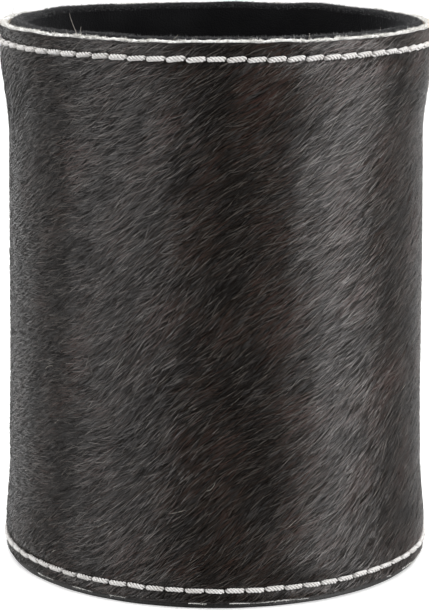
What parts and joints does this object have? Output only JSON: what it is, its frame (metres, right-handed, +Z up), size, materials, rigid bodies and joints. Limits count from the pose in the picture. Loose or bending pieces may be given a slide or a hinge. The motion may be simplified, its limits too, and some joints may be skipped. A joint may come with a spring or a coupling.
{
  "type": "leather dice cup",
  "caption": "Upright cylindrical dice cup of hair-on hide over a board tube, lined with dark velour, with a bare-edged rim and contrasting thread near the rim and the foot.",
  "frame": {"origin": "centre of the base cover's underside", "axes": "+Z up along the cup's axis, out of the mouth; +Y towards the hide's closing seam at the back; +X to the right, seen from the front"},
  "size_m": [0.0802, 0.0802, 0.1],
  "materials": {
    "hair_on_hide": "short glossy hair",
    "thread": "waxed twisted thread",
    "tape": "woven tape",
    "board": "plain board",
    "velour": "short pile",
    "felt": "pressed felt",
    "base_leather": "smooth, fine grain"
  },
  "bodies": {
    "root": {"hide_sleeve": "hair_on_hide", "seam_thread": "thread", "rim_needle_thread": "thread", "rim_bobbin_thread": "thread", "rim_stay_tape": "tape", "foot_needle_thread": "thread", "foot_bobbin_thread": "thread", "foot_stay_tape": "tape", "wall_core": "board", "wall_lining": "velour", "floor_lining": "velour", "floor_padding": "felt", "base_board": "board", "base_cover": "base_leather"}
  },
  "joints": []
}
